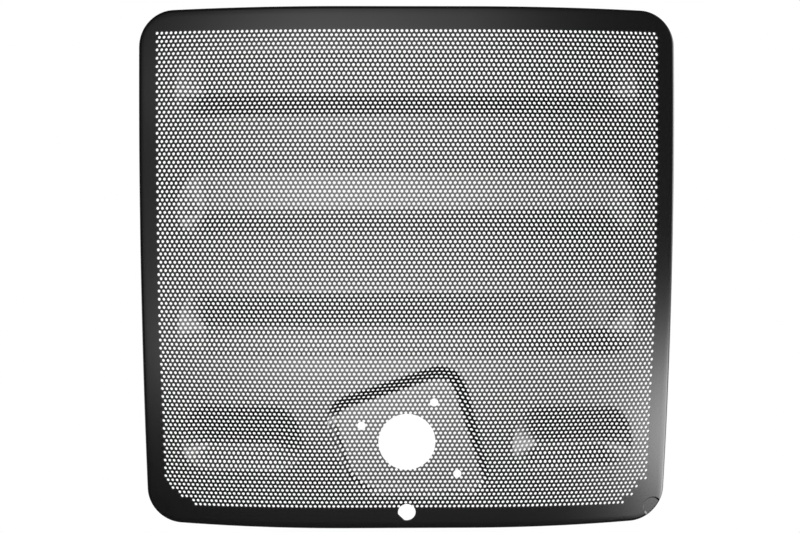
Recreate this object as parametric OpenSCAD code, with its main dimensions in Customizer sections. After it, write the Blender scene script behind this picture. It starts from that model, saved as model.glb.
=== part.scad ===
// Radiator grille: one perforated steel sheet, pressed to a shallow crown with stiffening grooves and a sunk
// badge seat, its edge turned back all round. It stands upright: X across, Z up, the front faces -Y.
// The origin is the centre of the lock hole, on the front face. Lengths are in millimetres, angles in degrees.

/* [Panel] */
// Width over the turned edges
panel_w = 563; // [545:1:600]
// Height over the turned edges, at the corners
panel_h = 548.5; // [546:0.5:580]
// Rise of the top edge from its ends to its middle
top_bow = 1.5; // [0:0.1:5]
// Drop of the bottom edge from its ends to its middle
bottom_bow = 3; // [0:0.1:6]
// Radius of the panel's corners
corner_r = 38; // [32:1:40]
// Thickness of the sheet
sheet_t = 1; // [0.8:0.1:1.6]
// Outer radius of the bend at the turned edge
bend_r = 4; // [3:0.5:6]
// Depth of the turned edge behind the front face
flange_d = 10; // [8:0.5:16]

/* [Crown] */
// Radius of the upright crown
crown_rv = 2930; // [2800:10:4000]
// Radius of the crown's wings, left and right
crown_rh = 1580; // [1300:10:2500]
// Width of the straight middle between the wings
crown_flat_w = 130; // [60:5:160]

/* [Grooves] */
// Height from one groove's deepest line to the next
groove_pitch = 124; // [110:1:125]
// Depth of a groove below the crown
groove_depth = 6; // [3:0.5:8]
// Height of a groove's long upper ramp
groove_upper = 41.5; // [34:0.5:43]
// Height of a groove's short lower ramp
groove_lower = 26; // [20:1:30]
// Distance of the grooves' tips from the sides of the panel
groove_in = 40.5; // [38:0.5:60]
// Width of the gap between the two short grooves of the lowest line
groove_gap = 222; // [210:1:260]
// Length of a groove's rounded end
groove_end = 30; // [24:1:40]
// Height of the grooves' middle above the panel's middle
groove_rise = 2; // [0:0.5:4]

/* [Badge seat] */
// Height of the badge hole below the panel's middle
seat_drop = 181.6; // [178:0.1:184]
// Width of the seat's square floor
seat_w = 134; // [124:1:136]
// Radius of the floor's corners
seat_corner_r = 20; // [14:1:26]
// Distance of the slanted lower left side from the middle of the floor
seat_cut = 48; // [44:0.5:52]
// Turn of the seat, anticlockwise as seen from the front
seat_turn = 18; // [12:1:24]
// Depth of the seat's flat floor behind the foremost line of the panel
seat_depth = 12; // [11.5:0.1:13]
// Slope of the seat's walls from the line of sight
seat_draft = 45; // [30:1:50]
// Diameter of the badge hole
badge_d = 61; // [50:0.5:66]
// Distance of the badge hole above the middle of the floor, along the turned seat
badge_up = 9; // [4:0.5:12]
// Side of the square that the screw holes stand on
screw_square = 81.4; // [76:0.2:86]
// Diameter of the badge's three screw holes
screw_d = 9; // [5:0.1:11]

/* [Lock and buffers] */
// Diameter of the lock hole
lock_d = 19; // [14:0.5:21]
// Distance of the lock hole's flat from its centre, as a share of its radius
lock_flat = 0.87; // [0.8:0.01:0.95]
// Direction of the lock hole's flat
lock_flat_at = 225; // [180:5:270]
// Height of the lock hole's centre above the panel's lowest corners
lock_rise = 16.2; // [15:0.1:17]
// Diameter of the round buffer seats in the lower corners
buffer_d = 20.5; // [16:0.5:22]
// Depth of the buffer seats
buffer_depth = 2; // [1:0.25:3]
// Distance of a buffer seat's centre from the panel's side
buffer_in = 12.5; // [11:0.5:15]
// Height of a buffer seat's centre above the panel's lowest corners
buffer_up = 17; // [15:0.5:20]

/* [Perforation] */
// Distance between the sheet's real holes along a row
hole_pitch = 5; // [4.5:0.1:6]
// Height from one row of real holes to the next
row_pitch = 4.34; // [4:0.02:5.2]
// Diameter of a real hole
hole_d = 3.3; // [2.5:0.1:3.5]
// Plain margin left and right of the holes
side_margin = 18; // [16:0.5:22]
// Plain margin above and below the holes
end_margin = 22.5; // [21:0.5:26]
// Real holes that one drawn opening stands for, along a row and up the rows
hole_group = 9; // [8:1:14]

/* [Hidden] */
coat_black = "#232425";
round_fn = 64;
opening_fn = 8;
bend_step = 30;
near = 1;

// The field of holes, and the same field as a grid of the pressed face
field_w = panel_w - 2 * side_margin;
field_h = panel_h - 2 * end_margin;
grid_x = field_w / 2;
grid_z = field_h / 2;
arc_x = panel_w / 2 - corner_r;
arc_z = panel_h / 2 - corner_r;

// Depth of the smooth crown behind its foremost line. Past the last row it runs on straight.
function crown_v(z) =
    let (a = min(abs(z), grid_z))
    a * a / (2 * crown_rv) + (abs(z) - a) * grid_z / crown_rv;
function wing(x) = max(abs(x) - crown_flat_w / 2, 0);
function crown(x, z) = crown_v(z) + pow(wing(x), 2) / (2 * crown_rh);

// Grooves: u is 0 along the deepest line and 1 at the lip
groove_tip = panel_w / 2 - groove_in;
gap_tip = groove_gap / 2;
groove_z = [for (k = [1.5, 0.5, -0.5, -1.5]) k * groove_pitch + groove_rise];
bowl_round = 0.1;
lip_round = 0.12;
function bowl(u) = 1 - (norm([u, bowl_round]) - bowl_round) / (norm([1, bowl_round]) - bowl_round);
function lip(s) =
    s <= -lip_round / 2 ? 0 :
    s >= lip_round / 2 ? s :
    pow(s + lip_round / 2, 2) / (2 * lip_round);
function past_ends(x, k) =
    max(0, abs(x) - groove_tip + groove_end, k == 3 ? gap_tip + groove_end - abs(x) : 0);
function groove(x, z, k) =
    let (t = z - groove_z[k], side = t > 0 ? groove_upper : groove_lower)
    groove_depth * lip(bowl(norm([t / side, past_ends(x, k) / groove_end])));
// Depth of the pressed front face at any point of the panel
function pressed(x, z) = crown(x, z) + groove(x, z, 0) + groove(x, z, 1) + groove(x, z, 2) + groove(x, z, 3);

// Lines of the grid, closer together where the face bends
function sorted(v) =
    len(v) < 2 ? v :
    let (p = v[floor(len(v) / 2)])
    concat(sorted([for (a = v) if (a < p) a]), [p], sorted([for (a = v) if (a > p) a]));
function spaced(v) = [for (i = [0:len(v) - 1]) if (i == 0 || v[i] - v[i - 1] > near) v[i]];
function within(v, limit) = [for (a = v) if (abs(a) < limit - near) a];
end_steps = [0, 0.25, 0.5, 0.8, 1.08];
groove_steps = [-1.06, -0.94, -0.2, 0, 0.15, 0.94, 1.06];
half_x = spaced(sorted(within(concat(
    [crown_flat_w / 2, (crown_flat_w / 2 + gap_tip) / 2, (gap_tip + groove_tip) / 2, arc_x],
    [for (s = end_steps) gap_tip + groove_end * (1 - s)],
    [for (s = end_steps) groove_tip - groove_end * (1 - s)],
    [for (a = [72, 54]) arc_x + (grid_z - arc_z) / tan(a)]), grid_x)));
xs = concat([-grid_x], [for (i = [len(half_x) - 1:-1:0]) -half_x[i]], half_x, [grid_x]);
zs = concat([-grid_z], spaced(sorted(within(concat(
    [-arc_z, 0, arc_z],
    [for (k = [0:3], u = groove_steps) groove_z[k] + u * (u > 0 ? groove_upper : groove_lower)],
    [for (s = [-1, 1]) s * (arc_z + (grid_x - arc_x) * tan(20))]), grid_z))), [grid_z]);
nx = len(xs);
nz = len(zs);

// The grid's rim, anticlockwise as seen from the front, and the section of the turned edge beyond it
rim = concat(
    [for (i = [0:nx - 2]) [i, 0]],
    [for (j = [0:nz - 2]) [nx - 1, j]],
    [for (i = [nx - 1:-1:1]) [i, nz - 1]],
    [for (j = [nz - 1:-1:1]) [0, j]]);
nr = len(rim);
inner_r = bend_r - sheet_t;
edge_section = concat(
    [for (a = [0:bend_step:90]) [bend_r * sin(a), bend_r - bend_r * cos(a)]],
    [[bend_r, flange_d], [inner_r, flange_d]],
    [for (a = [90:-bend_step:0]) [inner_r * sin(a), bend_r - inner_r * cos(a)]]);
ne = len(edge_section);
function bow(x, up) = (up > 0 ? top_bow : -bottom_bow) * (1 - pow(wing(x) / wing(arc_x), 2));
function edge_point(b, e) =
    let (
        core = [max(-arc_x, min(arc_x, b[0])), max(-arc_z, min(arc_z, b[1]))],
        out = (b - core) / norm(b - core),
        q = core + out * (corner_r - bend_r) + [0, abs(out[1]) > 0 ? bow(core[0], out[1]) : 0],
        p = q + out * e[0]
    )
    [p[0], crown(q[0], q[1]) + e[1], p[1]];

front_points = [for (x = xs, z = zs) [x, pressed(x, z), z]];
back_points = [for (p = front_points) p + [0, sheet_t, 0]];
edge_points = [for (e = edge_section, m = rim) edge_point([xs[m[0]], zs[m[1]]], e)];
function rim_index(m) = let (r = rim[m % nr]) r[0] * nz + r[1];
function ring(l, m) =
    l == 0 ? rim_index(m) :
    l == ne + 1 ? nx * nz + rim_index(m) :
    2 * nx * nz + (l - 1) * nr + m % nr;
grid_quads = [for (i = [0:nx - 2], j = [0:nz - 2])
    [i * nz + j, i * nz + j + 1, (i + 1) * nz + j + 1, (i + 1) * nz + j]];
edge_quads = [for (l = [0:ne], m = [0:nr - 1]) [ring(l, m), ring(l, m + 1), ring(l + 1, m + 1), ring(l + 1, m)]];
quads = concat(grid_quads, edge_quads,
    [for (q = grid_quads) [for (k = [3:-1:0]) q[k] + nx * nz]]);

// Places in the panel's own plane, from its middle
badge_at = [0, -seat_drop];
seat_at = badge_at - badge_up * [-sin(seat_turn), cos(seat_turn)];
lock_at = [0, lock_rise - panel_h / 2];
lock_y = crown(lock_at[0], lock_at[1]);
lock_tilt = atan(grid_z / crown_rv);
buffer_at = [panel_w / 2 - buffer_in, buffer_up - panel_h / 2];
buffer_swing = atan(wing(buffer_at[0]) / crown_rh);

// The slanted side takes the lower left corner off the square floor and leaves two blunt ones
seat_core = seat_w / 2 - seat_corner_r;
seat_slant = (seat_cut - seat_corner_r) * sqrt(2) - seat_core;
seat_corners = [
    [seat_core, seat_core], [-seat_core, seat_core], [seat_core, -seat_core],
    [-seat_core, -seat_slant], [-seat_slant, -seat_core]];
seat_reach = seat_depth + 2;

group_x = hole_group * hole_pitch;
group_z = hole_group * row_pitch;
opening_d = hole_group * hole_d;
group_cols = floor((field_w - opening_d) / group_x + 0.5);
group_rows = floor((field_h - opening_d) / group_z + 1);
// A place as the turned seat sees it
function in_seat(p) =
    let (d = p - seat_at)
    [d[0] * cos(seat_turn) + d[1] * sin(seat_turn), d[1] * cos(seat_turn) - d[0] * sin(seat_turn)];
function clear_of_seat(p) =
    let (s = in_seat(p), side = max(abs(s[0]), abs(s[1])), slant = -(s[0] + s[1]) / sqrt(2))
    max(side - seat_w / 2, slant - seat_cut) > opening_d / 2 + (seat_depth - crown_v(p[1])) * tan(seat_draft) + near;
openings = [
    for (r = [0:group_rows - 1], c = [0:group_cols - 1])
    let (p = [
        (c - (group_cols - 1) / 2 + (r % 2 == 0 ? -0.25 : 0.25)) * group_x,
        ((group_rows - 1) / 2 - r) * group_z])
    if (clear_of_seat(p)) p];

module sheet() {
    polyhedron(
        points = concat(front_points, back_points, edge_points),
        faces = [for (q = quads, h = [[0, 1, 2], [0, 2, 3]]) [for (k = h) q[k]]],
        convexity = 12);
}

// Everything in front of the seat's floor and between its walls
module seat_space() {
    translate([seat_at[0], seat_depth, seat_at[1]])
    rotate([90, 0, 0])
    rotate(seat_turn)
    hull()
    for (p = seat_corners)
        translate(p)
        cylinder(
            r1 = seat_corner_r,
            r2 = seat_corner_r + seat_reach * tan(seat_draft),
            h = seat_reach,
            $fn = round_fn / 2);
}

module behind_crown() {
    rotate([90, 0, 90])
    linear_extrude(height = field_w, center = true)
    polygon(concat(
        [for (z = zs) [crown_v(z) + sheet_t / 2, z]],
        [[panel_w / 4, grid_z], [panel_w / 4, -panel_h], [crown_v(panel_h) + sheet_t / 2, -panel_h]]));
}

// The pressed floor and walls, of the same sheet
module seat_pan() {
    difference() {
        intersection() {
            translate([0, sheet_t, 0]) seat_space();
            behind_crown();
        }
        seat_space();
    }
}

module at_buffer(side) {
    translate([side * buffer_at[0], crown(buffer_at[0], buffer_at[1]), buffer_at[1]])
    rotate([90 + lock_tilt, 0, side * buffer_swing])
    children();
}

module buffer_space(side) {
    at_buffer(side)
    translate([0, 0, -buffer_depth])
    cylinder(d = buffer_d, h = 3 * bend_r, $fn = round_fn);
}

// A shallow round cup, cut off by the panel's corner
module buffer_seat(side) {
    intersection() {
        difference() {
            at_buffer(side)
            translate([0, 0, -buffer_depth - sheet_t])
            cylinder(d = buffer_d + 2 * sheet_t, h = buffer_depth + sheet_t / 2, $fn = round_fn);
            buffer_space(side);
        }
        translate([side * arc_x, 0, -arc_z])
        rotate([90, 0, 0])
        cylinder(r = corner_r - sheet_t / 2, h = panel_w, center = true, $fn = 2 * round_fn);
    }
}

module pressed_sheet() {
    difference() {
        sheet();
        seat_space();
        buffer_space(-1);
        buffer_space(1);
    }
    seat_pan();
    buffer_seat(-1);
    buffer_seat(1);
}

module badge_holes() {
    translate([badge_at[0], seat_depth, badge_at[1]])
    rotate([90, 0, 0])
    cylinder(d = badge_d, h = 4 * sheet_t, center = true, $fn = round_fn);
    for (p = [[-1, 1], [1, 1], [1, -1]])
        translate([seat_at[0], seat_depth, seat_at[1]])
        rotate([90, 0, 0])
        rotate(seat_turn)
        translate(p * screw_square / 2)
        cylinder(d = screw_d, h = 4 * sheet_t, center = true, $fn = round_fn);
}

module lock_hole() {
    translate([lock_at[0], lock_y, lock_at[1]])
    rotate([90 + lock_tilt, 0, 0])
    difference() {
        cylinder(d = lock_d, h = 6 * sheet_t, center = true, $fn = round_fn);
        rotate(lock_flat_at)
        translate([lock_flat * lock_d / 2, -lock_d, -lock_d])
        cube(2 * lock_d);
    }
}

module coarse_perforation() {
    for (p = openings)
        translate([p[0], panel_w / 4, p[1]])
        rotate([90, 0, 0])
        rotate(180 / opening_fn)
        cylinder(d = opening_d, h = panel_w / 2, $fn = opening_fn);
}

module grille_panel() {
    color(coat_black)
    translate([0, -lock_y, -lock_at[1]])
    difference() {
        pressed_sheet();
        badge_holes();
        lock_hole();
        coarse_perforation();
    }
}

grille_panel();
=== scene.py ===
import math

import bpy
import numpy as np
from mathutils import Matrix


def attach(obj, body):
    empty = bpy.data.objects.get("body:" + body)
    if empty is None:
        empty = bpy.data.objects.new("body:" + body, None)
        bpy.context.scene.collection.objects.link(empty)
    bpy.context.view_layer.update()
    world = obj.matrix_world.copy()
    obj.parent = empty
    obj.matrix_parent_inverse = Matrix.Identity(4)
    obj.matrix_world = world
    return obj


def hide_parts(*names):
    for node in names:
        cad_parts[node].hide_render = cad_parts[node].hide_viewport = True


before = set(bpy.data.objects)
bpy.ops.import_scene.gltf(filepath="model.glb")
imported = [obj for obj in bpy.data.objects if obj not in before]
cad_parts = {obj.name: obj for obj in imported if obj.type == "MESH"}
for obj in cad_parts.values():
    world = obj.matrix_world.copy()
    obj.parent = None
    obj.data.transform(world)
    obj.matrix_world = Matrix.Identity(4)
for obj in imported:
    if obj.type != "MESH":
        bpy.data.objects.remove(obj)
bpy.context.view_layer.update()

# Camera: about 0.8 m in front of the panel, a little above and to the left of its middle, looking down 3.6 degrees.
# The picture is a part of a wider one, so its middle lies to the side of the line of sight.
camera_data = bpy.data.cameras.new("camera")
camera_data.sensor_width = 36.0
camera_data.lens = 36.0 * 753 / 800
camera_data.shift_x = 33.1 / 800
camera_data.clip_start = 0.05
camera = bpy.data.objects.new("camera", camera_data)
camera.location = (-0.048263, -0.789151, 0.313916)
camera.rotation_euler = (1.507896, 0.000798, -0.007250)
bpy.context.scene.collection.objects.link(camera)
bpy.context.scene.camera = camera
bpy.context.scene.view_settings.view_transform = "Standard"

# Grille panel: a 1 mm steel sheet with rows of 3.3 mm holes, punched flat and then pressed to a crown with
# grooves and a sunk seat, its edge turned back. Made as five bands of rows, so that every hole is a real one.
# Lengths are in millimetres from the middle of the panel until the bands are placed: x across, z up, y back.
half_w, half_h, corner_r = 281.5, 274.25, 38.0
sheet_t, bend_r, flange_d = 1.0, 4.0, 10.0
arc_x, arc_z = half_w - corner_r, half_h - corner_r
top_bow, bottom_bow = 1.5, 3.0
flat_half_w, crown_r, side_r = 65, 2930, 1580
lock_z, lock_y = -258.05, 11.357
deepest = 34.62
pitch, row, hole_r, columns = 5.0, 4.34, 1.62, 105
grid_x, grid_z = 263.75, 251.72


def wing(x):
    # How far a point lies outside the flat middle
    return np.maximum(np.abs(x) - flat_half_w, 0)


def crown(x, z):
    inner = np.minimum(np.abs(z), grid_z)
    return inner * inner / (2 * crown_r) + (np.abs(z) - inner) * grid_z / crown_r + wing(x) ** 2 / (2 * side_r)


def soft(d, r):
    # d where it is positive, and 0 elsewhere, with the turn rounded over r to each side
    return np.where(d <= -r, 0, np.where(d >= r, d, (d + r) ** 2 / (4 * r)))


groove_pitch, groove_up, groove_depth = 124, 2, 6
groove_upper, groove_lower, groove_end = 41.5, 26, 30
groove_half_w, broken_half_w = 211, 141
bowl_round, lip_round = 0.1, 0.06


def groove(x, z, number):
    # The lowest of the four grooves is broken in the middle
    up = z - (groove_pitch * (1.5 - number) + groove_up)
    past = np.maximum(np.abs(x) - groove_half_w, 0)
    if number == 3:
        past = np.maximum(past, broken_half_w - np.abs(x))
    away = np.hypot(np.where(up > 0, up / groove_upper, up / groove_lower), past / groove_end)
    sunk = 1 - (np.hypot(away, bowl_round) - bowl_round) / (math.hypot(1, bowl_round) - bowl_round)
    return groove_depth * soft(sunk, lip_round)


seat_x, seat_z, seat_depth, seat_turn = 2.781, -190.16, 12, math.radians(18)
seat_cos, seat_sin = math.cos(seat_turn), math.sin(seat_turn)
seat_straight, seat_corner = 47, 20
floor_round, rim_round = 3, 2.6
lower_side = (-39, -231.7, 0.0714, 0.9974)


def past_corner(a, b):
    # Distance outside the round corner between two sides, from the distances past each of them
    return np.hypot(np.maximum(a, 0), np.maximum(b, 0)) + np.minimum(np.maximum(a, b), 0)


def past_seat(x, z):
    # Distance outside the seat's floor, a turned square cut off below by a nearly level side
    dx, dz = x - seat_x, z - seat_z
    square = past_corner(np.abs(dx * seat_cos + dz * seat_sin) - seat_straight,
                         np.abs(dz * seat_cos - dx * seat_sin) - seat_straight)
    side_x, side_z, lean, drop = lower_side
    below = seat_corner - lean * (x - side_x) - drop * (z - side_z)
    return past_corner(square, below) - seat_corner


def pressed(x, z):
    face = crown(x, z)
    for number in range(4):
        face = face + groove(x, z, number)
    return face + soft(seat_depth - soft(past_seat(x, z), floor_round) - face, rim_round)


# From the last row of holes outwards: three steps over the plain margin, its rim, the bend and the flange.
# Each is a share of the way to the rim, less one, or a distance past the rim, and a distance back.
edge_steps = [(-0.75, 0), (-0.5, 0), (-0.25, 0), (0, 0)]
edge_steps += [(bend_r * math.sin(a), bend_r - bend_r * math.cos(a)) for a in np.radians([22.5, 45, 67.5, 90])]
edge_steps += [(bend_r, flange_d)]
# Pressing drew the rows below a height together and down: by how much, and over what length that is reached
draw_from, draw_in, in_over, draw_down, down_over = -60, 0.0055, 90, 1.1, 150


def place(points):
    # From the flat sheet to the part's frame in metres. The third coordinate is the step of the edge, or 0.
    x, z, step = points[:, 0], points[:, 1], np.rint(points[:, 2]).astype(int)
    low = np.maximum(draw_from - z, 0)
    drawn = np.stack([x * (1 - draw_in * np.minimum(low / in_over, 1)),
                      z - draw_down * np.minimum(low / down_over, 2) ** 2], 1)
    core = np.stack([np.clip(x, -arc_x, arc_x), np.clip(z, -arc_z, arc_z)], 1)
    away = np.stack([x, z], 1) - core
    out = away / np.maximum(np.hypot(away[:, 0], away[:, 1]), 1e-9)[:, None]
    bow = np.where(out[:, 1] > 1e-6, top_bow, np.where(out[:, 1] < -1e-6, -bottom_bow, 0))
    rim = core + out * (corner_r - bend_r)
    rim[:, 1] += bow * (1 - (wing(core[:, 0]) / wing(arc_x)) ** 2)
    placed = np.stack([drawn[:, 0], pressed(drawn[:, 0], drawn[:, 1]), drawn[:, 1]], 1)
    for number, (beyond, back) in enumerate(edge_steps, 1):
        if beyond < 0:
            flat = drawn + (rim - drawn) * (1 + beyond)
            y = pressed(flat[:, 0], flat[:, 1])
        else:
            flat = rim + out * beyond
            y = pressed(rim[:, 0], rim[:, 1]) + back
        at = step == number
        placed[at] = np.stack([flat[:, 0], y, flat[:, 1]], 1)[at]
    placed[:, 1] = np.minimum(placed[:, 1], deepest)
    return (placed - (0, lock_y, lock_z)) / 1000


def only(piece):
    bpy.ops.object.select_all(action="DESELECT")
    piece.select_set(True)
    bpy.context.view_layer.objects.active = piece


def join(pieces):
    bpy.ops.object.select_all(action="DESELECT")
    for piece in pieces:
        piece.select_set(True)
    bpy.context.view_layer.objects.active = pieces[0]
    bpy.ops.object.transform_apply(location=True, rotation=True, scale=True)
    bpy.ops.object.join()
    return bpy.context.object


def repeat(piece, count, step, merge=None):
    array = piece.modifiers.new("repeat", "ARRAY")
    array.count = count
    array.use_relative_offset = False
    array.use_constant_offset = True
    array.constant_offset_displace = step
    if merge:
        array.use_merge_vertices = True
        array.merge_threshold = merge
    bpy.ops.object.modifier_apply(modifier="repeat")


def read_points(mesh):
    points = np.empty(len(mesh.vertices) * 3)
    mesh.vertices.foreach_get("co", points)
    return points.reshape(-1, 3)


def pick(mesh, items, chosen):
    # Selects the chosen vertices, edges or polygons alone, and leaves the piece in edit mode
    kind = {"vertices": "VERT", "edges": "EDGE", "polygons": "FACE"}[items]
    bpy.ops.object.mode_set(mode="EDIT")
    bpy.ops.mesh.select_mode(type=kind)
    bpy.ops.mesh.select_all(action="DESELECT")
    bpy.ops.object.mode_set(mode="OBJECT")
    getattr(mesh, items).foreach_set("select", chosen)
    bpy.ops.object.mode_set(mode="EDIT")


# The sheet round one hole, as 12 points in units of a quarter pitch and half a row, anticlockwise from the right
share = [(2, 0), (2, 1), (1, 1), (0, 1), (-1, 1), (-2, 1), (-2, 0), (-2, -1), (-1, -1), (0, -1), (1, -1), (2, -1)]
row_starts = (-261.25, -258.75)
row_fills = (262.5, -262.5)
# Rows with holes left out at the left and right ends, where the panel's corners are
left_out = {110: (1, 2), 111: (1, 2), 112: (3, 3), 113: (3, 3), 114: (6, 5), 115: (6, 5)}
bands = [(0, 23), (23, 24), (47, 22), (69, 23), (92, 24)]
near = 0.01
panels = []
for number, (first, count) in enumerate(bands, 1):
    # A pair of rows: a hole's ring, pulled out to its share of the sheet, repeated along each row
    pieces = []
    for odd in (0, 1):
        bpy.ops.object.select_all(action="DESELECT")
        bpy.ops.mesh.primitive_circle_add(vertices=12, radius=hole_r, fill_type="NOTHING")
        cell = bpy.context.object
        bpy.ops.object.mode_set(mode="EDIT")
        bpy.ops.mesh.select_all(action="SELECT")
        bpy.ops.mesh.extrude_edges_move(TRANSFORM_OT_translate={"value": (0, 0, 0)})
        bpy.ops.object.mode_set(mode="OBJECT")
        for vertex in cell.data.vertices:
            if vertex.select:
                x, z = share[round(math.degrees(math.atan2(vertex.co.y, vertex.co.x)) / 30) % 12]
                vertex.co = (x * pitch / 4, z * row / 2, 0)
        repeat(cell, columns, (pitch, 0, 0), merge=0.001)
        cell.location = (row_starts[odd], -row * odd, 0)
        bpy.ops.object.select_all(action="DESELECT")
        bpy.ops.mesh.primitive_grid_add(x_subdivisions=2, y_subdivisions=2, size=1)
        end = bpy.context.object
        end.scale = (pitch / 2, row, 1)
        end.location = (row_fills[odd], -row * odd, 0)
        pieces += [cell, end]
    panel = join(pieces)
    panel.name = "grille_band_%d" % number

    # The pair is repeated down the band, and a band with an odd number of rows drops the last one
    repeat(panel, (count + 1) // 2, (0, -2 * row, 0))
    weld = panel.modifiers.new("weld", "WELD")
    weld.merge_threshold = near
    bpy.ops.object.modifier_apply(modifier="weld")
    mesh = panel.data
    top_z = grid_z - row * first
    points = read_points(mesh)
    points[:, 0] *= -1 if first % 2 else 1
    points[:, 1] += top_z - row / 2
    mesh.vertices.foreach_set("co", points.ravel())
    mesh.update()
    pick(mesh, "vertices", points[:, 1] < top_z - row * count - 0.05)
    bpy.ops.mesh.delete(type="VERT")
    bpy.ops.mesh.select_all(action="SELECT")
    bpy.ops.mesh.normals_make_consistent(inside=False)
    bpy.ops.object.mode_set(mode="OBJECT")

    # Holes left out in the lower corners are closed again
    points = read_points(mesh)
    closed = np.zeros(len(points), bool)
    for k in range(first, first + count):
        if k in left_out:
            at_left, at_right = left_out[k]
            left = row_starts[k % 2] + pitch * (at_left - 0.5)
            right = row_starts[k % 2] + pitch * (columns - at_right - 0.5)
            in_row = np.abs(points[:, 1] - grid_z + row * (k + 0.5)) < row / 2 - 0.1
            closed |= in_row & ((points[:, 0] < left - 0.1) | (points[:, 0] > right + 0.1))
    closed &= np.abs(points[:, 0]) < grid_x - 0.1
    if closed.any():
        pick(mesh, "vertices", closed)
        bpy.ops.mesh.fill_holes(sides=12)
        bpy.ops.object.mode_set(mode="OBJECT")

    # The plain margin and the turned edge: the outer edges are extruded once for each step of the section
    pairs = np.empty(len(mesh.edges) * 2, np.int32)
    mesh.edges.foreach_get("vertices", pairs)
    a, b = read_points(mesh)[pairs.reshape(-1, 2)].transpose(1, 0, 2)
    at_side = (np.abs(a[:, 0] - b[:, 0]) < near) & (np.abs(a[:, 0]) > grid_x - 2 * near)
    at_end = (np.abs(a[:, 1] - b[:, 1]) < near) & (np.abs(a[:, 1]) > grid_z - 2 * near)
    pick(mesh, "edges", at_side | at_end)
    for step in edge_steps:
        bpy.ops.mesh.extrude_edges_move(TRANSFORM_OT_translate={"value": (0, 0, 1)})
    bpy.ops.object.mode_set(mode="OBJECT")

    # Pressing: every point goes to its place on the pressed face, and the face gets its thickness behind it
    mesh.vertices.foreach_set("co", place(read_points(mesh)).ravel())
    mesh.update()
    bpy.ops.object.mode_set(mode="EDIT")
    bpy.ops.mesh.select_all(action="SELECT")
    bpy.ops.mesh.normals_make_consistent(inside=False)
    bpy.ops.object.mode_set(mode="OBJECT")
    if sum(polygon.normal.y * polygon.area for polygon in mesh.polygons) > 0:
        bpy.ops.object.mode_set(mode="EDIT")
        bpy.ops.mesh.flip_normals()
        bpy.ops.object.mode_set(mode="OBJECT")
    sheet = panel.modifiers.new("sheet", "SOLIDIFY")
    sheet.thickness = sheet_t / 1000
    sheet.offset = -1
    bpy.ops.object.modifier_apply(modifier="sheet")
    panels.append(panel)

# Punched holes: a large one for the badge and three for its screws in the seat, and one with a flat for the lock.
# They are punched through the two lower bands, where the sheet is opened for the buffer seats too.
tilt = math.atan(grid_z / crown_r)
badge_r, badge_z, screw_r, screw_at = 30.5, -181.6, 4.5, 40.7
lock_r, lock_flat = 9.5, 8.3
buffer_x, buffer_z = 269, -257.25
buffer_y = float(crown(np.float64(buffer_x), np.float64(buffer_z)))
swing = math.atan(float(wing(buffer_x)) / side_r)
through, cup_r, cup_ends = (-4, 4), 9, (-2, 3)


def round_tool(radii, ends, at, lean=0.0, turn=0.0, flat=None, sides=72):
    # A cylinder or cone across the sheet: radii and ends, measured from the face, are (back, front).
    # A flat is given by its distance from the middle, and lies on the lower left.
    bpy.ops.object.select_all(action="DESELECT")
    bpy.ops.mesh.primitive_cone_add(vertices=sides, radius1=radii[0] / 1000, radius2=radii[1] / 1000,
                                    depth=(ends[1] - ends[0]) / 1000)
    tool = bpy.context.object
    for vertex in tool.data.vertices:
        vertex.co.z += (ends[0] + ends[1]) / 2000
        past = -(vertex.co.x + vertex.co.y) / math.sqrt(2) - flat / 1000 if flat else 0
        if past > 0:
            vertex.co.x += past / math.sqrt(2)
            vertex.co.y += past / math.sqrt(2)
    tool.rotation_euler = (math.pi / 2 + lean, 0, turn)
    tool.location = (at[0] / 1000, (at[1] - lock_y) / 1000, (at[2] - lock_z) / 1000)
    bpy.ops.object.transform_apply(location=True, rotation=True, scale=True)
    return tool


def cut(piece, tool, operation="DIFFERENCE"):
    only(piece)
    modifier = piece.modifiers.new("cut", "BOOLEAN")
    modifier.operation = operation
    modifier.solver = "EXACT"
    modifier.object = tool
    bpy.ops.object.modifier_apply(modifier="cut")


def buffer_tool(side, back_r, ends):
    # A cone at a buffer seat that widens forwards at 45 degrees
    return round_tool((back_r, back_r + ends[1] - ends[0]), ends, (side * buffer_x, buffer_y, buffer_z),
                      lean=tilt, turn=side * swing)


punches = [round_tool((badge_r, badge_r), through, (0, seat_depth, badge_z))]
for u, v in ((-screw_at, screw_at), (screw_at, screw_at), (screw_at, -screw_at)):
    screw_x, screw_z = seat_x + u * seat_cos - v * seat_sin, seat_z + u * seat_sin + v * seat_cos
    punches.append(round_tool((screw_r, screw_r), through, (screw_x, seat_depth, screw_z)))
punches.append(round_tool((lock_r, lock_r), through, (0, lock_y, lock_z), lean=tilt, flat=lock_flat))
punches += [buffer_tool(side, cup_r, cup_ends) for side in (-1, 1)]
punch = join(punches)
for panel in panels[3:]:
    cut(panel, punch)
bpy.data.objects.remove(punch)

# Buffer seats: shallow round cups with sloping walls, pressed in the two lower corners, where rubber buffers may
# bear. Each is cut off by the panel's rounded corner, and its wall stays under the bend there.
shell_r, shell_ends = 9.6, (-3, -0.5)
inside_r, under_r, deep, high = corner_r - 0.4, 34.5, 20, 10
for side in (-1, 1):
    cup = buffer_tool(side, shell_r, shell_ends)
    hollow = buffer_tool(side, cup_r, cup_ends)
    corner = round_tool((inside_r, inside_r), (-100, 100), (side * arc_x, lock_y, -arc_z), sides=256)
    bend = round_tool((under_r + deep, under_r - high), (-deep, high), (side * arc_x, buffer_y, -arc_z), sides=256)
    for tool, operation in ((hollow, "DIFFERENCE"), (corner, "INTERSECT"), (bend, "INTERSECT")):
        cut(cup, tool, operation)
        bpy.data.objects.remove(tool)
    join([panels[4], cup])

# Coating: black and semi-gloss over the whole sheet, dipped or powdered, with a faint unevenness.
# Materials are made from nodes that read their place on the object.


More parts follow.
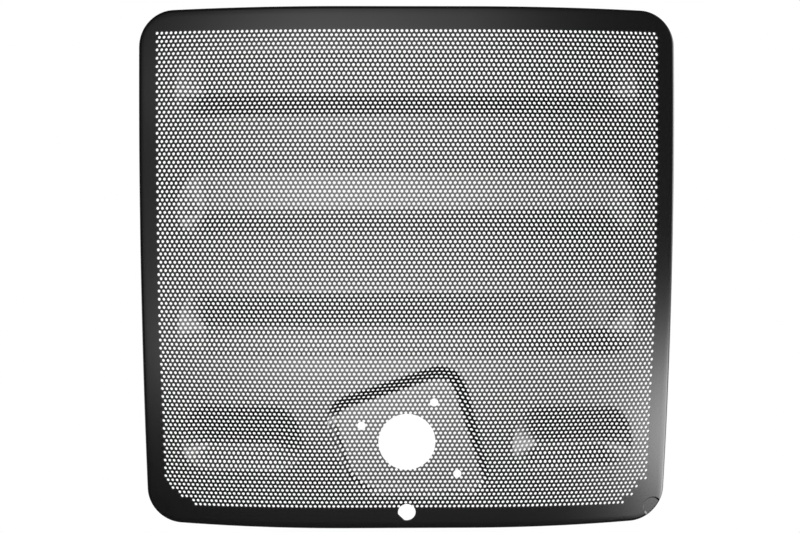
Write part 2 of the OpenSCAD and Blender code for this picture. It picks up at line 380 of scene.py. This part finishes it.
class Shade:
    """A value in a shader. a | b is the larger of two."""

    def __init__(self, socket):
        self.socket = socket

    def __or__(self, other):
        return Shade.node(self.socket.id_data, "Math", {"operation": "MAXIMUM"}, {0: self, 1: other})["Value"]

    __ror__ = __or__

    @staticmethod
    def node(tree, kind, settings=(), inputs=()):
        """Adds a node, with its settings and the values or links of its sockets, and returns its outputs."""
        added = tree.nodes.new("ShaderNode" + kind)
        for name, value in dict(settings).items():
            setattr(added, name, value)
        for name, value in dict(inputs).items():
            if isinstance(value, Shade):
                tree.links.new(value.socket, added.inputs[name])
            else:
                added.inputs[name].default_value = value
        return {output.name: Shade(output) for output in added.outputs}


def new_material(name):
    material = bpy.data.materials.new(name)
    material.use_nodes = True
    material.node_tree.nodes.clear()
    return material, material.node_tree


coat, tree = new_material("black_coating")
coords = Shade.node(tree, "TexCoord")
noise = Shade.node(tree, "TexNoise", {}, {"Vector": coords["Object"], "Scale": 900, "Detail": 3})
bump = Shade.node(tree, "Bump", {}, {"Height": noise["Fac"], "Strength": 0.15, "Distance": 0.0001})
shader = Shade.node(tree, "BsdfPrincipled", {}, {"Base Color": (0.006, 0.006, 0.0065, 1), "Roughness": 0.19,
                                                 "IOR": 1.5, "Normal": bump["Normal"]})
Shade.node(tree, "OutputMaterial", {}, {"Surface": shader["BSDF"]})

for panel in panels:
    panel.data.materials.clear()
    panel.data.materials.append(coat)
    only(panel)
    bpy.ops.object.shade_smooth_by_angle(angle=math.radians(30))
    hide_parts("grille_panel")
    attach(panel, "root")

# The studio's ground: white to the camera and in reflections, and only a dim room's light on the piece.
world = bpy.data.worlds.new("studio")
bpy.context.scene.world = world
world.use_nodes = True
world.node_tree.nodes.clear()
white = (1, 1, 1, 1)


def seen_white(tree, plain, bright):
    # The bright shader for rays that come from the camera, glossy or clear surfaces, and the plain one for others
    ray = Shade.node(tree, "LightPath")
    seen = ray["Is Camera Ray"] | ray["Is Glossy Ray"] | ray["Is Transmission Ray"]
    return Shade.node(tree, "MixShader", {}, {0: seen, 1: plain, 2: bright})["Shader"]


tree = world.node_tree
dim = Shade.node(tree, "Background", {}, {"Color": white, "Strength": 0.5})["Background"]
ground = Shade.node(tree, "Background", {}, {"Color": white, "Strength": 1})["Background"]
Shade.node(tree, "OutputWorld", {}, {"Surface": seen_white(tree, dim, ground)})

# A pale floor, just below the panel's lowest edge, as white to the camera as the ground beyond it.
# It lies behind the panel alone, so that it doesn't light the face from below.
floor_size, floor_front, floor_z = 6, 0.06, -0.0194
bpy.ops.object.select_all(action="DESELECT")
bpy.ops.mesh.primitive_plane_add(size=floor_size, location=(0, floor_front + floor_size / 2, floor_z))
floor = bpy.context.object
floor.name = "studio_floor"
pale, tree = new_material("pale_floor")
matt = Shade.node(tree, "BsdfPrincipled", {}, {"Base Color": (0.8, 0.8, 0.8, 1), "Roughness": 0.9})["BSDF"]
bright = Shade.node(tree, "Emission", {}, {"Color": white, "Strength": 1})["Emission"]
Shade.node(tree, "OutputMaterial", {}, {"Surface": seen_white(tree, matt, bright)})
floor.data.materials.append(pale)

# Around and in front of the panel the room is a wide dome of cloth, open behind: dark, with soft pools of light
# below and above the line of sight and a stronger one low on the right. Each pool is its elevation and azimuth in
# degrees, its spread in each, and its brightness.
pools = [(-13, -3, 4, 13, 0.31), (17.5, -6, 2.8, 12, 0.24), (2, -6, 13, 16, 0.062), (31.5, -2, 7.5, 14, 0.046),
         (-20.5, 54, 5, 10, 1.3), (-26, 80, 8, 14, 0.3), (-24, 5, 4, 16, 0.015), (-10, -26, 6, 7, 0.02),
         (-13, 25, 4.5, 7, 0.07), (10, 93, 9, 12, 0.4)]
dome_r, dome_z, open_from = 14, 0.26, 9.5
darkest, brightest = 0.002, 0.42
bpy.ops.object.select_all(action="DESELECT")
bpy.ops.mesh.primitive_uv_sphere_add(segments=180, ring_count=90, radius=dome_r, location=(0, 0, dome_z))
dome = bpy.context.object
dome.name = "studio_dome"
pick(dome.data, "polygons", [polygon.center.y > open_from for polygon in dome.data.polygons])
bpy.ops.mesh.delete(type="FACE")
bpy.ops.object.mode_set(mode="OBJECT")
glow = dome.data.color_attributes.new("glow", "FLOAT_COLOR", "POINT")
for vertex, shade in zip(dome.data.vertices, glow.data):
    x, y, z = vertex.co / dome_r
    elevation, azimuth = math.degrees(math.asin(max(-1, min(1, z)))), math.degrees(math.atan2(x, -y))
    level = darkest
    for e, a, spread_e, spread_a, pool in pools:
        level += pool * math.exp(-((elevation - e) / spread_e) ** 2 / 2 - ((azimuth - a) / spread_a) ** 2 / 2)
    level = min(level, brightest)
    shade.color = (level, level, level, 1)
cloth, tree = new_material("lit_cloth")
level = Shade.node(tree, "Attribute", {"attribute_name": "glow"})
shader = Shade.node(tree, "BsdfPrincipled", {}, {"Base Color": (0, 0, 0, 1), "Roughness": 1, "Specular IOR Level": 0,
                                                 "Emission Color": level["Color"], "Emission Strength": 22})
Shade.node(tree, "OutputMaterial", {}, {"Surface": shader["BSDF"]})
dome.data.materials.append(cloth)
dome.visible_camera = False
